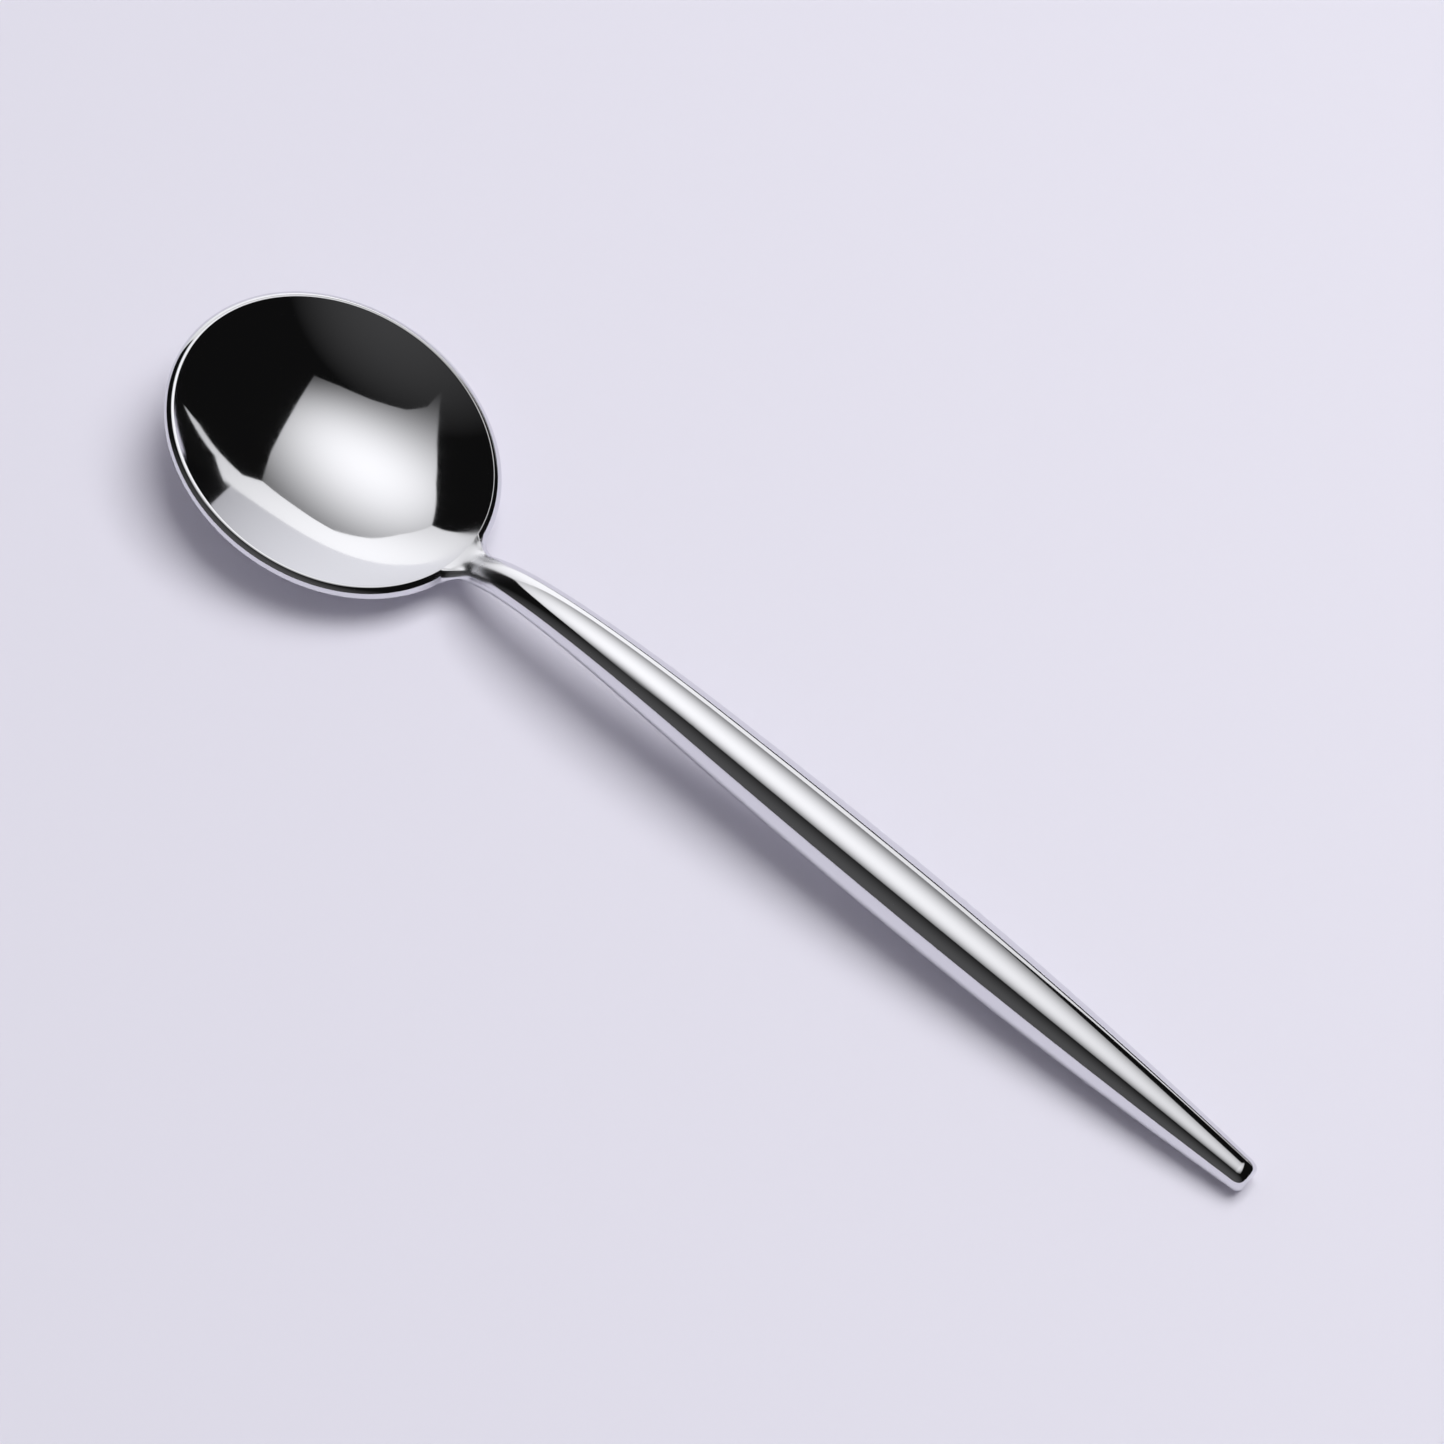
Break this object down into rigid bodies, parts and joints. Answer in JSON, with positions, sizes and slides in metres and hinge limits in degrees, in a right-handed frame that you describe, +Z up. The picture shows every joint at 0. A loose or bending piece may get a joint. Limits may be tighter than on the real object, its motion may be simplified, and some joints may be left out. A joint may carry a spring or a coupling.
{
  "type": "soup spoon",
  "caption": "Mirror-polished steel soup spoon with a slightly oval bowl, a slim raised neck and a round hollow handle that tapers to a small flat end.",
  "frame": {"origin": "on the table under the middle of the spoon's length, as it rests on its bowl and its tip", "axes": "+X runs from the bowl to the handle's tip, +Z is up, and +Y is to the left seen from the bowl"},
  "size_m": [0.1904, 0.0422, 0.0152],
  "materials": {
    "polished_steel": "mirror-polished stainless steel",
    "plain_steel": "turned stainless steel, not polished",
    "cast_resin": "cast filling resin, matte"
  },
  "bodies": {
    "root": {"bowl": "polished_steel", "neck": "polished_steel", "handle_upper_shell": "polished_steel", "handle_lower_shell": "polished_steel", "tip_plug": "polished_steel", "tang_bush": "plain_steel", "filler_core": "cast_resin"}
  },
  "joints": []
}
